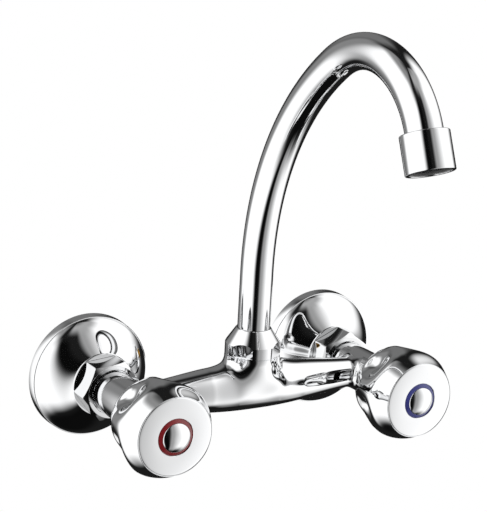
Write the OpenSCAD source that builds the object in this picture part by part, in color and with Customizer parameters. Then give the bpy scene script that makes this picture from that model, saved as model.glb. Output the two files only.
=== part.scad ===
// Wall-mounted kitchen mixer tap with two round handles and a swivelling spout.
// Origin: on the wall, midway between the two inlets. X runs along the wall,
// -Y comes out of the wall towards the user, and Z is up. Millimetres.

/* [Wall connection] */
// Distance between the two inlet axes
inlet_centres = 150; // [140:1:160]
// Rim diameter of the cone-shaped wall flange
flange_d = 68.8; // [60:0.2:76]
// Straight height of the flange's rim
flange_rim = 6.3; // [3:0.1:9]
// Distance from the wall to the flange's front end
flange_depth = 22; // [18:0.5:28]
// Wall thickness of the flange
flange_wall = 1.6; // [1:0.1:2.5]
// Outside diameter of the half-inch wall tail
tail_d = 20.955; // [16.6:0.005:26.5]
// Length of the wall tail inside the wall
tail_length = 16; // [12:0.5:22]
// Distance that the tail sits above the mixer's inlet axis
tail_offset = 6; // [0:0.5:8]
// Outside diameter of the three-quarter-inch thread for the nut
union_thread_d = 26.44; // [25:0.01:27]
// Diameter of the waterway in the inlets
waterway_d = 13; // [9:0.5:14]

/* [Union nut] */
// Width across the flats of the union nut
nut_flats = 30.2; // [30:0.1:33]
// Length of the union nut
nut_length = 13.2; // [12:0.1:16]
// Depth of the nut's thread over the wall connection
nut_grip = 4.2; // [3:0.1:5]
// Thickness of the lip at the nut's front that holds it on the body
nut_lip = 2.5; // [2:0.1:3]
// Thickness of the sealing washer in the nut
washer_t = 2; // [1.5:0.1:2.5]
// Turn of the left nut about its axis, in degrees
left_nut_turn = 36; // [0:1:59]
// Turn of the right nut about its axis, in degrees
right_nut_turn = 54; // [0:1:59]

/* [Body] */
// Outside diameter of the two valve barrels
barrel_d = 24; // [23.5:0.1:27]
// Length of a valve barrel
barrel_length = 45.3; // [42:0.1:52]
// Distance from the wall to the spout's axis
spout_axis_out = 52.8; // [50:0.2:56]
// Radius of the arms at the middle of the body
arm_mid_r = 13.2; // [12.5:0.1:15]
// Height of the arms' axis above the inlet axis
arm_rise = 0.7; // [0:0.1:1.5]
// Radius of the arms where they meet the barrels
arm_end_r = 8.2; // [7.8:0.1:10]
// Diameter of the turret that carries the spout
turret_d = 30.6; // [29.5:0.1:34]
// Height of the turret's top face above the inlet axis
turret_top = 19.2; // [18:0.1:24]
// Radius of the blend between the turret and the arms
blend_r = 11; // [8:0.5:13]

/* [Spout collar] */
// Height of the collar's straight part
collar_skirt = 6.4; // [5:0.1:9]
// Height of the collar's cone
collar_cone = 8.4; // [7:0.1:11]
// Width across the collar's four spanner flats
collar_flats = 28.4; // [27.5:0.1:30]
// Turn of the spanner flats about the spout's axis, in degrees
collar_turn = 38; // [0:1:89]

/* [Spout] */
// Outside diameter of the spout tube
tube_d = 18; // [16:0.1:19]
// Wall thickness of the spout tube
tube_wall = 1; // [0.8:0.1:1.5]
// Straight rise of the tube above the collar
tube_rise = 31.4; // [20:0.2:60]
// Centreline radius of the first, wide bend
bend1_r = 147.7; // [120:0.1:180]
// Angle of the wide bend, in degrees
bend1_angle = 56.1; // [45:0.1:65]
// Centreline radius of the second, tight bend
bend2_r = 50.3; // [40:0.1:70]
// Angle of the tight bend, in degrees
bend2_angle = 101; // [90:0.5:115]
// Outside diameter of the aerator housing
nozzle_d = 23.6; // [23:0.1:26]
// Length of the aerator housing
nozzle_length = 18.6; // [16:0.1:22]

/* [Handles] */
// Diameter of the handle's front face
face_d = 41.4; // [36:0.1:46]
// Diameter at the handle's widest place
knob_d = 51.4; // [48:0.1:56]
// Diameter of the handle's rear edge
knob_rear_d = 41.2; // [38:0.1:46]
// Front-to-back length of the handle
knob_length = 34; // [32:0.5:38]
// Number of finger hollows round the handle
hollows = 5; // [4:1:6]
// Radius of each finger hollow
hollow_r = 20; // [16:0.5:24]
// Depth of the hollows at their deepest, below the widest diameter
hollow_depth = 6.4; // [4:0.1:7]
// Turn of the hollows about the handle's axis, in degrees
hollow_turn = 61; // [0:1:89]
// Outside diameter of the coloured ring
ring_d = 21; // [19:0.1:24]
// Width of the coloured ring
ring_width = 1.8; // [1.4:0.1:2.4]
// Height of the domed button above the handle's face
button_rise = 3; // [1.5:0.1:4]

/* [Fits] */
// Radial gap of parts that turn in each other
running_gap = 0.06; // [0.03:0.01:0.1]
// Radial gap of parts that are screwed or pushed together
seat_gap = 0.05; // [0.02:0.01:0.1]
// Gap between faces that slide past each other
face_gap = 0.1; // [0.05:0.01:0.3]

/* [Hidden] */
$fn = 96;

// Colours
chrome_tint = [0.82, 0.83, 0.85];
brass_tint = [0.80, 0.66, 0.35];
rubber_tint = [0.12, 0.12, 0.13];
fibre_tint = [0.55, 0.30, 0.20];
ceramic_tint = [0.93, 0.93, 0.90];
steel_tint = [0.65, 0.66, 0.68];
plastic_tint = [0.90, 0.90, 0.88];
hot_tint = [0.62, 0.06, 0.08];
cold_tint = [0.12, 0.14, 0.45];

// Small overlap that keeps cuts clean
eps = 0.5;

// Places along an inlet, measured out from the wall
nut_back = flange_depth + 0.3;
nut_front = nut_back + nut_length;
union_end = nut_back + nut_grip;
spigot_start = union_end + washer_t;
ring_lead = 1;
ring_t = 1.5;
ring_start = spigot_start + ring_lead;
nut_lip_start = ring_start + ring_t;
barrel_lap = 0.8;
barrel_start = nut_front - barrel_lap;
barrel_end = barrel_start + barrel_length;
knob_overlap = 5.5;
knob_rear = barrel_end - knob_overlap;
handle_face = knob_rear + knob_length;

// Wall connection
tail_r = tail_d / 2;
union_r = union_thread_d / 2;
way_r = waterway_d / 2;
shoulder_r = max(tail_r + tail_offset + 0.6, union_r + 2);
shoulder_t = 7;
flange_r = flange_d / 2;
flange_neck_r = union_r + 4.4;
flange_neck = 1.2;

// Body
barrel_r = barrel_d / 2;
barrel_bevel = 1.2;
spigot_r = way_r + 4;
ring_groove = 0.9;
ring_out_r = union_r - 0.6;
turret_r = turret_d / 2;
half_span = inlet_centres / 2;
arm_len = half_span - 4;
passage_r = 5.2;
chamber_r = 9.4;
neck_r = 12.6;
neck_rise = 4.6;
neck_top = turret_top + neck_rise;
collar_top = turret_top + collar_skirt + collar_cone;

// Valve headwork: a half-inch bush with a ceramic cartridge, from the seat outwards.
// The seat lies just behind the passages that lead into the arms.
seat = spout_axis_out - passage_r - 1.6;
bush_thread_r = 10.4;
bush_r = 9.4;
bush_bore_r = 8.05;
bush_start = seat + 1;
bush_thread_l = 13;
valve_chamber_r = 10.1;
seal_t = 2.5;
disc_t = 3;
disc_r = bush_bore_r - running_gap;
fixed_disc_at = seat + seal_t;
moving_disc_at = fixed_disc_at + disc_t + face_gap / 2;
drive_at = moving_disc_at + disc_t + face_gap / 2;
drive_t = 3;
lug_length = 1.2;
lug_w = 1.8;
lug_spread = 4.5;
bush_bore_end = drive_at + drive_t + face_gap;
hex_flats = 22;
hex_t = 4;
bush_neck_r = 6.5;
bush_end = barrel_end + hex_t + 3.6;
stem_r = 4;
stem_bore_r = stem_r + running_gap;
clip_t = 0.9;
clip_at = bush_end + face_gap;
clip_out_r = 5.9;
clip_groove = 0.7;
spline_teeth = 20;
spline_depth = 0.35;
spline_inset = 0.1;

// Handle
knob_r = knob_d / 2;
face_r = face_d / 2;
knob_rear_r = knob_rear_d / 2;
rear_recess_r = barrel_r + 2;
rear_recess = knob_overlap + hex_t + 1.3;
hub_recess_r = bush_neck_r + 0.8;
socket_end = rear_recess + 4;
web_t = 3;
front_recess = 9;
socket_bottom = knob_length - front_recess - web_t;
stem_end = knob_rear + socket_bottom - 0.3;
ring_r = ring_d / 2;
button_r = ring_r - ring_width;
ring_sunk = 1.2;
ring_proud = 0.4;
sleeve_r = button_r + 0.6;
sleeve_wall = 1.8;
sleeve_end = 6;
screw_r = 2;
screw_head_r = 3.5;
screw_head_t = 2.6;

// Spout
tube_r = tube_d / 2;
tube_fit = 0.02;
joint_step = 0.03;
joint_lap = 0.3;
ferrule_wall = 1.3;
ferrule_r = tube_r + ferrule_wall;
ferrule_bottom = passage_r + 2;
spout_bore_r = ferrule_r + running_gap;
ferrule_flange_r = neck_r - 0.8;
ferrule_flange_t = 2.2;
slip_ring_t = 1.2;
collar_shoulder = neck_top + ferrule_flange_t + slip_ring_t + 2 * face_gap;
o_ring_r = 0.75;
o_ring_pitch = 3;
tube_bottom = ferrule_bottom + 2 * o_ring_pitch + 0.6;

// Outlet, measured down from the end of the tube's bend
nozzle_r = nozzle_d / 2;
nozzle_lip = 1.6;
outlet_start = 0.2;
outlet_thread_r = nozzle_r - 1;
outlet_thread_l = 8;
outlet_lap = 4;
outlet_washer_t = 1.5;
cage_r = nozzle_r - 1.3;
cage_at = outlet_start + outlet_thread_l + outlet_washer_t;
cage_end = nozzle_length - nozzle_lip;
cage_wall = 2;
screen_t = 1.2;

// The spout's centreline: straight up, a wide bend, then a tight bend.
// This is the direction from the centreline towards a bend's centre, a degrees along the path
function across(a) = [0, -cos(a), -sin(a)];
bend1_at = [0, -spout_axis_out, collar_top + tube_rise];
bend1_centre = bend1_at + bend1_r * across(0);
bend2_at = bend1_centre - bend1_r * across(bend1_angle);
bend2_centre = bend2_at + bend2_r * across(bend1_angle);
end_angle = bend1_angle + bend2_angle;
tube_end = bend2_centre - bend2_r * across(end_angle);

// Puts a child that is built along +Z on an inlet axis: +Z comes out of the wall
module on_inlet(side) {
    translate([side * half_span, 0, 0]) rotate([90, 0, 0]) children();
}

// Ring with a square section
module tube_ring(outer, inner, length) {
    difference() {
        cylinder(r = outer, h = length);
        translate([0, 0, -eps]) cylinder(r = inner, h = length + 2 * eps);
    }
}

// Round ring of wire, such as an O-ring
module o_ring(middle, wire) {
    rotate_extrude() translate([middle, 0]) circle(r = wire, $fn = 32);
}

// Hexagonal prism with both ends turned down to a bevel
module bevelled_hex(flats, length, turned_d) {
    intersection() {
        cylinder(d = flats / cos(30), h = length, $fn = 6);
        rotate_extrude() polygon([[0, 0], [turned_d / 2 - 1.1, 0], [turned_d / 2 + 0.2, 1.1],
            [turned_d / 2 + 0.2, length - 1.1], [turned_d / 2 - 1.1, length], [0, length]]);
    }
}

// Wall connection

// Outline of the flange's outside from the rim to the neck: bulged by the rim, hollow by the neck
function flange_profile(shrink) =
    let (edge = flange_r - 0.4, width = edge - flange_neck_r,
        height = flange_depth - flange_neck - flange_rim)
    [for (i = [0 : 14])
        let (t = i / 14, u = 1 - t)
        [flange_neck_r + width * (u * u * u + 3 * u * u * t * 0.78 + 3 * u * t * t * 0.3) - shrink,
            flange_rim + height * (3 * u * u * t * 0.43 + 3 * u * t * t * 0.73 + t * t * t)]];

module wall_flange(side) {
    bore_r = union_r + seat_gap;
    color(chrome_tint) on_inlet(side) difference() {
        rotate_extrude() polygon(concat([[0, 0], [flange_r, 0]], flange_profile(0),
            [[flange_neck_r, flange_depth], [0, flange_depth]]));
        translate([0, 0, -flange_wall]) rotate_extrude()
            polygon(concat([[0, -eps], [flange_r - flange_wall, -eps]],
                flange_profile(flange_wall),
                [[bore_r + 1, flange_depth - flange_neck], [0, flange_depth - flange_neck]]));
        cylinder(r = bore_r, h = flange_depth + eps);
    }
}

module s_union(side) {
    color(brass_tint) on_inlet(side) difference() {
        union() {
            translate([0, tail_offset, -tail_length]) cylinder(r = tail_r, h = tail_length + eps);
            cylinder(r = shoulder_r, h = shoulder_t);
            cylinder(r = union_r, h = union_end);
        }
        translate([0, tail_offset, -tail_length - eps])
            cylinder(r = way_r, h = tail_length + shoulder_t);
        translate([0, 0, 2]) cylinder(r = way_r, h = union_end);
    }
}

module union_nut(side, turn) {
    color(chrome_tint) on_inlet(side) translate([0, 0, nut_back]) rotate([0, 0, turn])
        difference() {
            bevelled_hex(nut_flats, nut_length, nut_flats / cos(30));
            translate([0, 0, -eps])
                cylinder(r = union_r + seat_gap, h = nut_lip_start - nut_back + eps);
            cylinder(r = spigot_r + 0.3, h = nut_length + eps);
            translate([0, 0, nut_lip_start + nut_lip - nut_back])
                cylinder(r1 = barrel_r + 0.3, r2 = nut_flats / 2 - 0.6,
                    h = nut_front - nut_lip_start - nut_lip + 0.01);
        }
}

module union_washer(side) {
    color(fibre_tint) on_inlet(side) translate([0, 0, union_end])
        tube_ring(union_r - 0.7, way_r + 0.5, washer_t);
}

module retaining_ring(side) {
    color(steel_tint) on_inlet(side) translate([0, 0, ring_start]) difference() {
        tube_ring(ring_out_r, spigot_r - ring_groove + seat_gap, ring_t);
        translate([0, -2, -eps]) cube([ring_out_r + eps, 4, ring_t + 2 * eps]);
    }
}

// Body casting

// Arm outline: widest under the turret, easing down to the barrels
function arm_radius(x) = arm_end_r
    + (arm_mid_r - arm_end_r) * (0.5 + 0.5 * cos(180 * pow(x / arm_len, 1.25)));

module arms() {
    steps = 28;
    translate([0, 0, arm_rise]) rotate([0, 90, 0]) rotate_extrude() polygon(concat([[0, -arm_len]],
        [for (i = [-steps : steps]) [arm_radius(arm_len * abs(i) / steps), arm_len * i / steps]],
        [[0, arm_len]]));
}

// Two circles on the Y axis joined by their common tangents
module tapered_slot(r1, y1, r2, y2) {
    lean = asin((r1 - r2) / (y2 - y1));
    translate([0, y1]) circle(r = r1);
    translate([0, y2]) circle(r = r2);
    polygon([[r1 * cos(lean), y1 + r1 * sin(lean)], [r2 * cos(lean), y2 + r2 * sin(lean)],
        [-r2 * cos(lean), y2 + r2 * sin(lean)], [-r1 * cos(lean), y1 + r1 * sin(lean)]]);
}

// Turret: it swells from the arms' radius to the collar's, and a hollow blend runs into both arms
module turret() {
    foot = turret_top - blend_r;
    crest_r = 6;
    steps = 10;
    rotate_extrude() polygon(concat([[0, arm_rise]],
        [for (i = [0 : steps]) let (t = i / steps)
            [arm_mid_r + (turret_r - arm_mid_r) * (0.5 - 0.5 * cos(180 * t)),
                arm_rise + (turret_top - 0.8 - arm_rise) * t]],
        [[turret_r, turret_top], [0, turret_top]]));
    intersection() {
        translate([0, 0, foot]) rotate_extrude() difference() {
            square([turret_r + blend_r, blend_r]);
            translate([turret_r + blend_r, blend_r]) circle(r = blend_r);
        }
        rotate([90, 0, 90]) linear_extrude(4 * turret_r, center = true)
            tapered_slot(arm_mid_r - 0.4, arm_rise, crest_r, turret_top - crest_r + 0.5);
    }
}

module barrel_outside(side) {
    on_inlet(side) {
        translate([0, 0, spigot_start])
            cylinder(r = spigot_r, h = barrel_start - spigot_start + barrel_bevel);
        translate([0, 0, barrel_start]) rotate_extrude() polygon([[0, 0], [barrel_r - barrel_bevel, 0],
            [barrel_r, barrel_bevel], [barrel_r, barrel_length - 0.6],
            [barrel_r - 0.6, barrel_length], [0, barrel_length]]);
    }
}

module barrel_inside(side) {
    on_inlet(side) {
        translate([0, 0, spigot_start - eps]) cylinder(r = way_r, h = seat);
        translate([0, 0, seat]) cylinder(r = valve_chamber_r, h = barrel_length);
        translate([0, 0, barrel_end - bush_thread_l - 1])
            cylinder(r = bush_thread_r + seat_gap, h = bush_thread_l + 1 + eps);
        translate([0, 0, ring_start - face_gap / 2])
            tube_ring(spigot_r + eps, spigot_r - ring_groove, ring_t + face_gap);
    }
}

module body() {
    color(chrome_tint) difference() {
        union() {
            translate([0, -spout_axis_out, 0]) {
                arms();
                turret();
                cylinder(r = neck_r, h = neck_top);
            }
            for (side = [-1, 1]) barrel_outside(side);
        }
        for (side = [-1, 1]) barrel_inside(side);
        translate([0, -spout_axis_out, 0]) {
            rotate([0, 90, 0])
                cylinder(r = passage_r, h = 2 * (half_span - valve_chamber_r + 3), center = true);
            translate([0, 0, -passage_r - 1]) cylinder(r = chamber_r, h = neck_top);
            translate([0, 0, ferrule_bottom - 0.5]) cylinder(r = spout_bore_r, h = neck_top + 10);
        }
    }
}

// Valve headwork

module headwork(side) {
    windows_at = moving_disc_at + 1;
    color(brass_tint) on_inlet(side) difference() {
        union() {
            translate([0, 0, bush_start]) cylinder(r = bush_r, h = barrel_end - bush_start);
            translate([0, 0, barrel_end - bush_thread_l])
                cylinder(r = bush_thread_r, h = bush_thread_l);
            translate([0, 0, barrel_end]) bevelled_hex(hex_flats, hex_t, hex_flats / cos(30));
            translate([0, 0, barrel_end]) cylinder(r = bush_neck_r, h = bush_end - barrel_end);
        }
        translate([0, 0, bush_start - eps])
            cylinder(r = bush_bore_r, h = bush_bore_end - bush_start + eps);
        cylinder(r = stem_bore_r, h = bush_end + eps);
        translate([-barrel_r, -3.5, windows_at]) cube([barrel_d, 7, drive_t + 1.5]);
        translate([0, 0, barrel_end - bush_thread_l - 1.6])
            tube_ring(bush_r + eps, bush_r - 0.7, 1.5);
    }
}

module headwork_seal(side) {
    color(rubber_tint) on_inlet(side) translate([0, 0, barrel_end - bush_thread_l - 0.85])
        o_ring(bush_r - 0.05, 0.6);
}

module seat_seal(side) {
    color(rubber_tint) on_inlet(side) translate([0, 0, seat]) tube_ring(disc_r, way_r - 0.6, seal_t);
}

// Ceramic disc with a half-round port
module port_disc(turn) {
    rotate([0, 0, turn]) difference() {
        cylinder(r = disc_r, h = disc_t);
        translate([0, 0, -eps]) intersection() {
            cylinder(r = disc_r - 2.2, h = disc_t + 2 * eps);
            translate([-disc_r, 1, 0]) cube([2 * disc_r, disc_r, disc_t + 2 * eps]);
        }
    }
}

module fixed_disc(side) {
    color(ceramic_tint) on_inlet(side) translate([0, 0, fixed_disc_at]) port_disc(0);
}

module moving_disc(side) {
    color(ceramic_tint) on_inlet(side) translate([0, 0, moving_disc_at]) difference() {
        port_disc(180);
        drive_lugs(0.05, disc_t);
    }
}

// The two lugs of the spindle that turn the moving disc
module drive_lugs(gap, depth) {
    for (x = [-1, 1])
        translate([x * lug_spread - lug_w / 2 - gap, 2 - gap, disc_t - lug_length - gap])
            cube([lug_w + 2 * gap, lug_w + 1.2 + 2 * gap, depth]);
}

// Spindle

// Half-round foot over the moving disc's closed half: the other half lets the water out
module spindle_foot() {
    difference() {
        cylinder(r = disc_r - 0.1, h = drive_t);
        translate([-disc_r, -disc_r, -eps]) cube([2 * disc_r, disc_r, drive_t + 2 * eps]);
    }
}

// Toothed outline of the spindle's end; the handle's socket is the same with a gap
module spline(gap) {
    outer = stem_r - spline_inset + gap;
    polygon([for (i = [0 : 2 * spline_teeth - 1])
        let (r = i % 2 == 0 ? outer : outer - spline_depth, a = 180 * i / spline_teeth)
        [r * cos(a), r * sin(a)]]);
}

module spindle(side) {
    spline_at = knob_rear + socket_end - 0.3;
    color(brass_tint) on_inlet(side) difference() {
        union() {
            translate([0, 0, drive_at]) spindle_foot();
            translate([0, 0, moving_disc_at]) drive_lugs(0, lug_length + face_gap);
            translate([0, 0, drive_at]) cylinder(r = stem_r, h = spline_at - drive_at);
            translate([0, 0, spline_at]) linear_extrude(stem_end - spline_at) spline(0);
        }
        translate([0, 0, stem_end - 8]) cylinder(r = screw_r + seat_gap, h = 8 + eps);
        for (z = spindle_o_ring_places())
            translate([0, 0, z - 0.7]) tube_ring(stem_r + eps, stem_r - 1.1, 1.4);
        translate([0, 0, clip_at - face_gap / 2])
            tube_ring(stem_r + eps, stem_r - clip_groove, clip_t + face_gap);
    }
}

function spindle_o_ring_places() = [bush_bore_end + 6, bush_bore_end + 9];

module spindle_o_rings(side) {
    color(rubber_tint) on_inlet(side) for (z = spindle_o_ring_places())
        translate([0, 0, z]) o_ring(stem_r - 0.52, 0.5);
}

module spindle_clip(side) {
    color(steel_tint) on_inlet(side) translate([0, 0, clip_at]) difference() {
        tube_ring(clip_out_r, stem_r - clip_groove + seat_gap, clip_t);
        translate([0, -1.5, -eps]) cube([clip_out_r + eps, 3, clip_t + 2 * eps]);
    }
}

// Handle

// Places in the handle are measured from its rear edge towards its face
module on_knob(side) {
    on_inlet(side) translate([0, 0, knob_rear]) children();
}

// Barrel-shaped outside: one wide arc from the rear edge to the face
module knob_outside() {
    sag = knob_r - (face_r + knob_rear_r) / 2;
    arc_r = (pow(knob_length / 2, 2) + sag * sag) / (2 * sag);
    tilt = (knob_rear_r - face_r) / 2;
    rotate_extrude() intersection() {
        translate([knob_r - arc_r, knob_length / 2 - tilt]) circle(r = arc_r, $fn = 200);
        polygon([[0, 0], [knob_rear_r - 1, 0], [knob_r, 2.6], [knob_r + 1, knob_length - 1],
            [face_r + 0.1, knob_length], [0, knob_length]]);
    }
}

module finger_hollows() {
    centre_r = knob_r - hollow_depth + hollow_r;
    for (i = [0 : hollows - 1])
        rotate([0, 0, hollow_turn + 360 * i / hollows])
            translate([centre_r, 0, 0.21 * knob_length]) sphere(r = hollow_r);
}

module knob(side) {
    color(chrome_tint) on_knob(side) difference() {
        knob_outside();
        finger_hollows();
        translate([0, 0, -eps]) cylinder(r = rear_recess_r, h = rear_recess + eps);
        cylinder(r = hub_recess_r, h = socket_end);
        translate([0, 0, socket_end - eps])
            linear_extrude(socket_bottom - socket_end + eps) spline(seat_gap);
        translate([0, 0, socket_bottom - eps]) cylinder(r = screw_r + 0.2, h = web_t + 2 * eps);
        translate([0, 0, knob_length - front_recess])
            cylinder(r = sleeve_r + seat_gap, h = front_recess + eps);
        translate([0, 0, knob_length - ring_sunk])
            cylinder(r = ring_r + seat_gap, h = ring_sunk + eps);
    }
}

module index_ring(side, tint) {
    color(tint) on_knob(side) difference() {
        union() {
            translate([0, 0, knob_length - ring_sunk])
                cylinder(r = ring_r, h = ring_sunk + ring_proud);
            translate([0, 0, knob_length - sleeve_end])
                cylinder(r = sleeve_r, h = sleeve_end);
        }
        translate([0, 0, knob_length - sleeve_end - eps])
            cylinder(r = sleeve_r - sleeve_wall, h = sleeve_end + eps);
        translate([0, 0, knob_length - ring_sunk])
            cylinder(r = button_r, h = ring_sunk + ring_proud + eps);
    }
}

module index_button(side) {
    dome_r = (pow(button_r - seat_gap, 2) + button_rise * button_rise) / (2 * button_rise);
    color(chrome_tint) on_knob(side) difference() {
        union() {
            translate([0, 0, knob_length - ring_sunk])
                cylinder(r = button_r - seat_gap, h = ring_sunk);
            translate([0, 0, knob_length]) intersection() {
                translate([0, 0, button_rise - dome_r]) sphere(r = dome_r, $fn = 160);
                cylinder(r = button_r, h = button_rise + eps);
            }
            translate([0, 0, knob_length - sleeve_end])
                cylinder(r = sleeve_r - sleeve_wall - seat_gap, h = sleeve_end);
        }
        translate([0, 0, knob_length - sleeve_end - eps])
            cylinder(r = sleeve_r - sleeve_wall - 1.4, h = sleeve_end - ring_sunk + eps);
    }
}

module handle_screw(side) {
    color(steel_tint) on_knob(side) translate([0, 0, knob_length - front_recess]) difference() {
        union() {
            cylinder(r = screw_head_r, h = screw_head_t);
            translate([0, 0, -web_t - 7]) cylinder(r = screw_r, h = web_t + 7 + eps);
        }
        translate([-screw_head_r, -0.5, screw_head_t - 1.2]) cube([2 * screw_head_r, 1, 2]);
        translate([-0.5, -screw_head_r, screw_head_t - 1.2]) cube([1, 2 * screw_head_r, 2]);
    }
}

// Spout

module spout_collar() {
    flat_at = collar_flats / 2;
    color(chrome_tint) translate([0, -spout_axis_out, 0]) difference() {
        rotate_extrude() polygon([[0, turret_top], [turret_r - 0.4, turret_top],
            [turret_r, turret_top + 0.4], [turret_r, turret_top + collar_skirt],
            [tube_r + 0.9, collar_top - 0.3], [tube_r + 0.6, collar_top], [0, collar_top]]);
        translate([0, 0, turret_top - eps])
            cylinder(r = neck_r + seat_gap, h = collar_shoulder - turret_top + eps);
        cylinder(r = tube_r + 0.3, h = collar_top + eps);
        for (i = [0 : 3]) rotate([0, 0, collar_turn + 90 * i])
            translate([flat_at, -turret_r, turret_top + 0.8]) cube([turret_r, turret_d, 20]);
    }
}

module spout_slip_ring() {
    color(plastic_tint) translate([0, -spout_axis_out, collar_shoulder - slip_ring_t])
        tube_ring(neck_r - 0.2, tube_r + 0.4, slip_ring_t);
}

module spout_ferrule() {
    flange_at = neck_top + face_gap;
    color(brass_tint) translate([0, -spout_axis_out, 0]) difference() {
        union() {
            translate([0, 0, ferrule_bottom])
                cylinder(r = ferrule_r, h = flange_at + ferrule_flange_t - ferrule_bottom);
            translate([0, 0, flange_at]) cylinder(r = ferrule_flange_r, h = ferrule_flange_t);
        }
        translate([0, 0, ferrule_bottom - eps])
            cylinder(r = tube_r - tube_wall, h = flange_at + 10);
        translate([0, 0, tube_bottom]) cylinder(r = tube_r + tube_fit, h = flange_at + 10);
        for (z = o_ring_places())
            translate([0, 0, z - o_ring_r - 0.1])
                tube_ring(ferrule_r + eps, ferrule_r - 2 * o_ring_r, 2 * o_ring_r + 0.2);
    }
}

function o_ring_places() = [for (i = [0, 1]) ferrule_bottom + 1.8 + i * o_ring_pitch];

module spout_o_rings() {
    color(rubber_tint) translate([0, -spout_axis_out, 0]) for (z = o_ring_places())
        translate([0, 0, z]) o_ring(ferrule_r - o_ring_r + 0.02, o_ring_r);
}

// The tube's path has four stretches. The second and the last are slimmer by a hair and
// reach a little into their neighbours, so that all of them join as one solid.

// A bend in the plane of the spout, from angle a for sweep degrees
module bend(centre, radius, a, sweep, slim, reach) {
    lap = reach / radius * 180 / PI;
    translate(centre) rotate([a - lap, 0, 0]) rotate([0, 90, 0]) rotate([0, 0, 90])
        rotate_extrude(angle = sweep + 2 * lap) translate([radius, 0]) difference() {
            circle(r = tube_r - slim);
            circle(r = tube_r - tube_wall + slim);
        }
}

module spout_tube() {
    color(chrome_tint) {
        translate([0, -spout_axis_out, tube_bottom])
            tube_ring(tube_r, tube_r - tube_wall, bend1_at[2] - tube_bottom);
        bend(bend1_centre, bend1_r, 0, bend1_angle, joint_step, joint_lap);
        bend(bend2_centre, bend2_r, bend1_angle, bend2_angle, 0, 0);
        on_outlet() translate([0, 0, -joint_lap])
            tube_ring(tube_r - joint_step, tube_r - tube_wall + joint_step,
                outlet_lap + joint_lap);
    }
}

// Children are built along +Z, which runs down through the outlet from the end of the bend
module on_outlet() {
    translate(tube_end) rotate([end_angle, 0, 0]) children();
}

module outlet_ferrule() {
    color(chrome_tint) on_outlet() difference() {
        translate([0, 0, outlet_start]) cylinder(r = outlet_thread_r, h = outlet_thread_l);
        cylinder(r = tube_r + tube_fit, h = outlet_lap + 0.1);
        cylinder(r = tube_r - tube_wall, h = outlet_start + outlet_thread_l + eps);
    }
}

module aerator_housing() {
    rim = 0.5;
    color(chrome_tint) on_outlet() difference() {
        rotate_extrude() polygon([[0, 0], [nozzle_r - rim, 0], [nozzle_r, rim],
            [nozzle_r, nozzle_length - rim], [nozzle_r - rim, nozzle_length], [0, nozzle_length]]);
        translate([0, 0, -eps]) cylinder(r = outlet_thread_r + seat_gap, h = cage_end + eps);
        translate([0, 0, cage_end - eps]) cylinder(r = cage_r - 0.6, h = nozzle_lip + 2 * eps);
    }
}

module aerator_washer() {
    color(rubber_tint) on_outlet() translate([0, 0, cage_at - outlet_washer_t])
        tube_ring(cage_r, tube_r - tube_wall - 1, outlet_washer_t);
}

module aerator_cage() {
    floor_t = 1.2;
    jets = 8;
    jet_r = 1;
    color(plastic_tint) on_outlet() difference() {
        union() {
            translate([0, 0, cage_at]) cylinder(r = cage_r, h = cage_end - cage_at);
            translate([0, 0, cage_at])
                cylinder(r = cage_r - 0.6 - seat_gap, h = cage_end - cage_at + nozzle_lip - 0.6);
        }
        translate([0, 0, cage_at + floor_t]) cylinder(r = cage_r - cage_wall, h = nozzle_length);
        for (i = [0 : jets - 1]) rotate([0, 0, 360 * i / jets])
            translate([cage_r / 2, 0, cage_at - eps]) cylinder(r = jet_r, h = floor_t + 2 * eps);
    }
}

module aerator_screen() {
    mesh_pitch = 3;
    color(steel_tint) on_outlet() translate([0, 0, cage_end - screen_t]) difference() {
        cylinder(r = cage_r - cage_wall - seat_gap, h = screen_t);
        for (x = [-2 : 2], y = [-2 : 2]) translate([mesh_pitch * x, mesh_pitch * y, -eps])
            cylinder(r = mesh_pitch / 3 + 0.1, h = screen_t + 2 * eps, $fn = 4);
    }
}

body();
wall_flange(-1);  // left_wall_flange
wall_flange(1);  // right_wall_flange
s_union(-1);  // left_s_union
s_union(1);  // right_s_union
union_nut(-1, left_nut_turn);  // left_union_nut
union_nut(1, right_nut_turn);  // right_union_nut
union_washer(-1);  // left_union_washer
union_washer(1);  // right_union_washer
retaining_ring(-1);  // left_retaining_ring
retaining_ring(1);  // right_retaining_ring
headwork(-1);  // left_headwork
headwork(1);  // right_headwork
headwork_seal(-1);  // left_headwork_seal
headwork_seal(1);  // right_headwork_seal
seat_seal(-1);  // left_seat_seal
seat_seal(1);  // right_seat_seal
fixed_disc(-1);  // left_fixed_disc
fixed_disc(1);  // right_fixed_disc
spout_collar();
spout_slip_ring();
spout_tube();
spout_ferrule();
spout_o_rings();
outlet_ferrule();
aerator_housing();
aerator_washer();
aerator_cage();
aerator_screen();
knob(-1);  // left_knob
index_ring(-1, hot_tint);  // left_index_ring
index_button(-1);  // left_index_button
handle_screw(-1);  // left_handle_screw
spindle(-1);  // left_spindle
moving_disc(-1);  // left_moving_disc
spindle_o_rings(-1);  // left_spindle_o_rings
spindle_clip(-1);  // left_spindle_clip
knob(1);  // right_knob
index_ring(1, cold_tint);  // right_index_ring
index_button(1);  // right_index_button
handle_screw(1);  // right_handle_screw
spindle(1);  // right_spindle
moving_disc(1);  // right_moving_disc
spindle_o_rings(1);  // right_spindle_o_rings
spindle_clip(1);  // right_spindle_clip
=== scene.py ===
"""Looks of the wall-mounted kitchen mixer tap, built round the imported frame.

The frame's nodes keep their places. The chromed outside pieces are modelled again with
smooth surfaces in the same places, and every other node gets its real finish.
Sizes are in millimetres until a piece is finished, and X, Y and Z are the frame's.
"""

import logging
import math
from dataclasses import dataclass
from enum import Enum
from typing import Callable, Dict, Iterable, List, Optional, Sequence, Tuple, Union

import bmesh
import bpy
from mathutils import Matrix, Vector

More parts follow.
